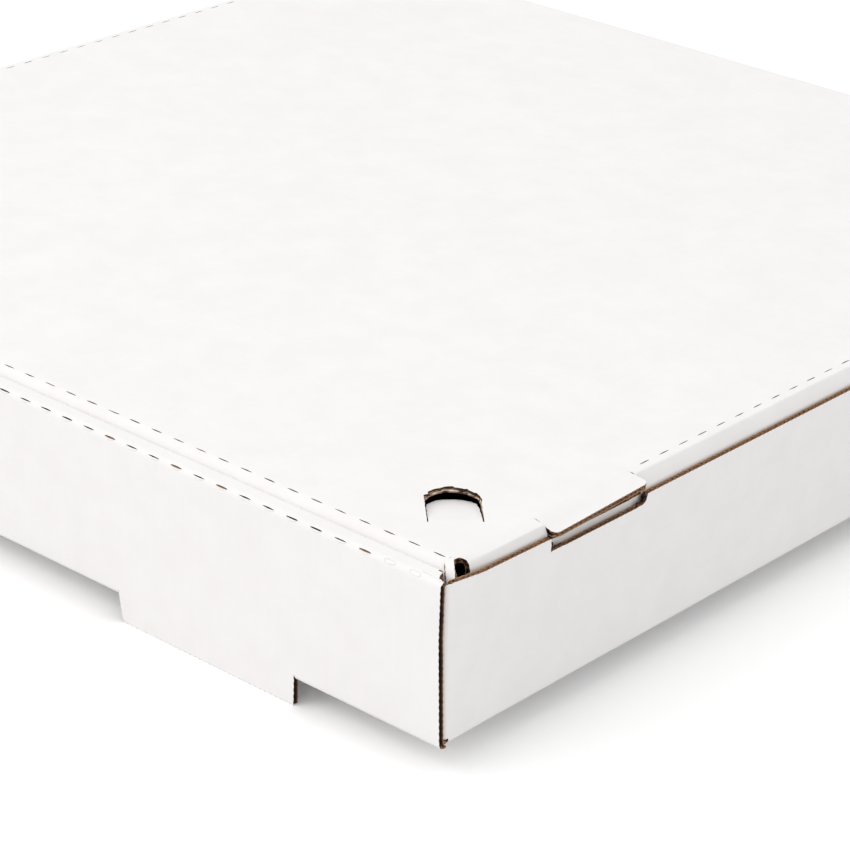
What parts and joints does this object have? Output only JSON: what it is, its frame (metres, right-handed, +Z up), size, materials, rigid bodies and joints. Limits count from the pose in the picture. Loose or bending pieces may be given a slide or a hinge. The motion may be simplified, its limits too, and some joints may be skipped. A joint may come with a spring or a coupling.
{
  "type": "pizza box",
  "caption": "Closed square pizza box of white corrugated board with a hinged tuck-in lid, a roll-over locking front wall, notched side walls and press-in corner vents.",
  "frame": {"origin": "centre of the overall box at the lowest level, the lower edge of the front tabs", "axes": "+X to the right along the front wall, +Y from the front wall to the hinged back wall, +Z up"},
  "size_m": [0.3596, 0.3636, 0.0535],
  "materials": {
    "white_board": "matt white liner over brown fluted board"
  },
  "bodies": {
    "tray": {"tray": "white_board"},
    "lid": {"lid": "white_board"},
    "vent_flap_right": {"vent_flap_right": "white_board"},
    "vent_flap_left": {"vent_flap_left": "white_board"}
  },
  "joints": [
    {"name": "lid_hinge", "type": "hinge", "parent": "tray", "child": "lid", "pos_m": [0, 0.181, 0.0527], "axis": [-1, 0, 0], "range_deg": [0, 180]},
    {"name": "vent_right_hinge", "type": "hinge", "parent": "lid", "child": "vent_flap_right", "pos_m": [0.1597, -0.1552, 0.0527], "axis": [-0.7071, -0.7071, 0], "range_deg": [-10.5, 70]},
    {"name": "vent_left_hinge", "type": "hinge", "parent": "lid", "child": "vent_flap_left", "pos_m": [-0.1597, -0.1552, 0.0527], "axis": [-0.7071, 0.7071, 0], "range_deg": [-10.5, 70]}
  ]
}
